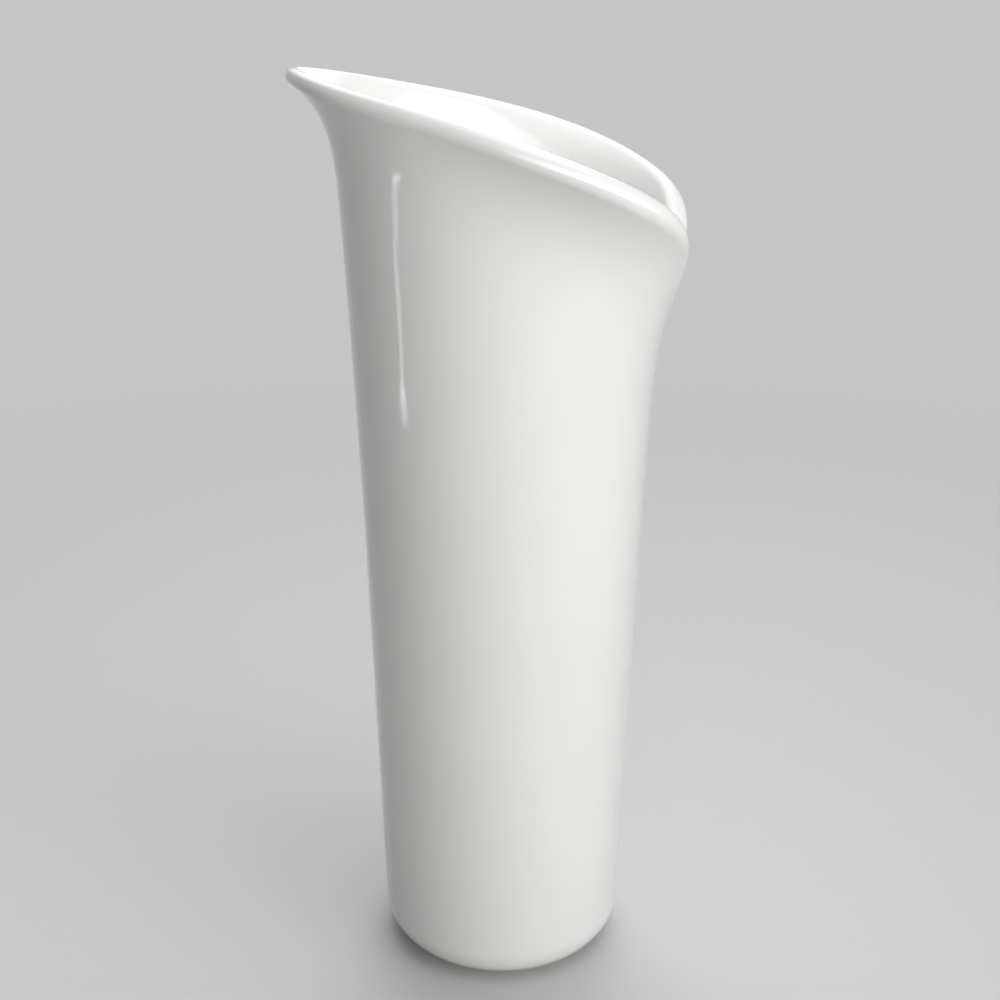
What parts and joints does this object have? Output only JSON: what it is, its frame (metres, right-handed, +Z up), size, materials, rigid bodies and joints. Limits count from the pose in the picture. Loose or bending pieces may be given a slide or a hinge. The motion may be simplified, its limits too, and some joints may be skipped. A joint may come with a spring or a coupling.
{
  "type": "bud vase",
  "caption": "White porcelain bud vase that holds cut flower stems: a tall, tapered round body and a flared calla lily mouth, heart-shaped from above, drawn out to a high tip and low and dipped in front.",
  "frame": {"origin": "on the surface that the vase stands on, under the middle of its overall box; the body's own axis is 3.5 mm from it along +X", "axes": "+Z up along the body; the drawn-out tip of the mouth points to -X and the low front of the lip to +X; Y = 0 is the plane of symmetry"},
  "size_m": [0.0832, 0.0802, 0.2],
  "materials": {
    "glazed_porcelain": "clear gloss glaze over white porcelain",
    "bare_porcelain": "unglazed porcelain, fine matt"
  },
  "bodies": {
    "root": {"foot_ring": "bare_porcelain", "base_floor": "glazed_porcelain", "body_wall": "glazed_porcelain", "calla_mouth": "glazed_porcelain"}
  },
  "joints": []
}
